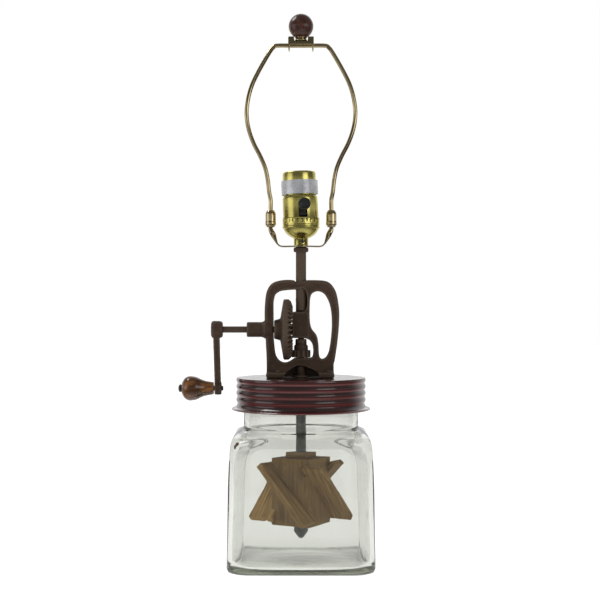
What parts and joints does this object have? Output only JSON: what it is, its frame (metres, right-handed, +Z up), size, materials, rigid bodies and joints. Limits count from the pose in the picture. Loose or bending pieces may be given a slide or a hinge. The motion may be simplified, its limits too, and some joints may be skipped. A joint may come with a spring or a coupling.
{
  "type": "butter churn table lamp",
  "caption": "Table lamp made as a hand-cranked glass butter churn: square jar, iron gear frame, crank, wooden dasher, brass lamp socket and wire shade harp.",
  "frame": {"origin": "centre of the jar's flat base, which the lamp stands on", "axes": "+Z up through the jar, the dasher spindle and the finial; the crank is on the -X side; the front, with the socket's turn knob, faces -Y"},
  "size_m": [0.1938, 0.1424, 0.548],
  "materials": {
    "jar_glass": "clear pressed glass, faint grey-green tint",
    "lid_paint": "dark oxblood enamel on sheet steel, satin",
    "rubber": "dark soft rubber",
    "iron_brown": "rough casting with a dark rust-brown coat",
    "steel_dark": "dull dark steel",
    "brass_bright": "bright brass-plated sheet, mirror-like",
    "brass_antique": "antique brass wire and strap, glossy",
    "wood_lacquered": "amber-brown glossy lacquer with dark patches",
    "wood_dark": "dark brown stain, semi-gloss",
    "wood_plain": "dull unfinished light brown wood",
    "phenolic_black": "black moulded plastic",
    "card_liner": "grey-brown insulating card",
    "label_blank": "plain silver-white band with nothing printed on it",
    "aluminium": "bare stamped aluminium"
  },
  "bodies": {
    "jar": {"jar": "jar_glass"},
    "head": {"lid": "lid_paint", "lid_gasket": "rubber", "spindle_bush": "iron_brown", "gear_frame": "iron_brown", "frame_screw_1": "iron_brown", "frame_screw_2": "iron_brown", "frame_screw_3": "iron_brown", "frame_screw_4": "iron_brown", "frame_nut_1": "steel_dark", "frame_nut_2": "steel_dark", "frame_nut_3": "steel_dark", "frame_nut_4": "steel_dark", "lamp_pipe": "iron_brown", "cord_bushing": "phenolic_black", "check_ring": "iron_brown", "harp_saddle": "brass_antique", "harp_wire": "brass_antique", "harp_swivel": "brass_antique", "socket_cap": "brass_bright", "socket_set_screw": "steel_dark", "socket_shell": "brass_bright", "socket_body": "phenolic_black", "socket_liner": "card_liner", "screw_shell": "aluminium", "centre_contact": "brass_bright", "socket_label": "label_blank"},
    "crank": {"crank_shaft": "iron_brown", "crown_gear": "iron_brown", "gear_pin": "steel_dark", "crank_arm": "iron_brown", "grip_pin": "steel_dark"},
    "grip": {"handle_grip": "wood_lacquered"},
    "dasher": {"spindle": "steel_dark", "pinion": "iron_brown", "pinion_pin": "steel_dark", "dasher_rod": "steel_dark", "coupling_pin": "steel_dark", "dasher_cap": "wood_plain", "dasher_hub": "wood_plain", "dasher_blade_1": "wood_plain", "dasher_blade_2": "wood_plain", "dasher_blade_3": "wood_plain", "dasher_blade_4": "wood_plain", "dasher_nut": "steel_dark"},
    "switch": {"switch_knob": "phenolic_black", "switch_stem": "brass_bright"},
    "finial": {"finial_base": "brass_antique", "finial_ball": "wood_dark"},
    "left_ferrule": {"ferrule_left": "brass_bright"},
    "right_ferrule": {"ferrule_right": "brass_bright"}
  },
  "joints": [
    {"name": "lid_turn", "type": "hinge", "parent": "jar", "child": "head", "pos_m": [0, 0, 0.17], "axis": [0, 0, 1], "range_deg": [0, 330]},
    {"name": "crank_turn", "type": "hinge", "parent": "head", "child": "crank", "pos_m": [-0.03, 0, 0.2325], "axis": [1, 0, 0], "continuous": true},
    {"name": "grip_spin", "type": "hinge", "parent": "crank", "child": "grip", "pos_m": [-0.105, 0, 0.1738], "axis": [1, 0, 0], "continuous": true},
    {"name": "dasher_spin", "type": "hinge", "parent": "head", "child": "dasher", "pos_m": [0, 0, 0.15], "axis": [0, 0, 1], "continuous": true},
    {"name": "switch_turn", "type": "hinge", "parent": "head", "child": "switch", "pos_m": [-0.00065, 0, 0.35599], "axis": [0.139, -0.9903, 0.0061], "continuous": true},
    {"name": "finial_turn", "type": "hinge", "parent": "head", "child": "finial", "pos_m": [0, 0, 0.53], "axis": [0, 0, 1], "continuous": true},
    {"name": "left_ferrule_slide", "type": "slide", "parent": "head", "child": "left_ferrule", "axis": [0, 0, 1], "range_m": [0, 0.008]},
    {"name": "right_ferrule_slide", "type": "slide", "parent": "head", "child": "right_ferrule", "axis": [0, 0, 1], "range_m": [0, 0.008]}
  ],
  "couplings": [
    {"joint": "dasher_spin", "follows": "crank_turn", "ratio": -3}
  ]
}
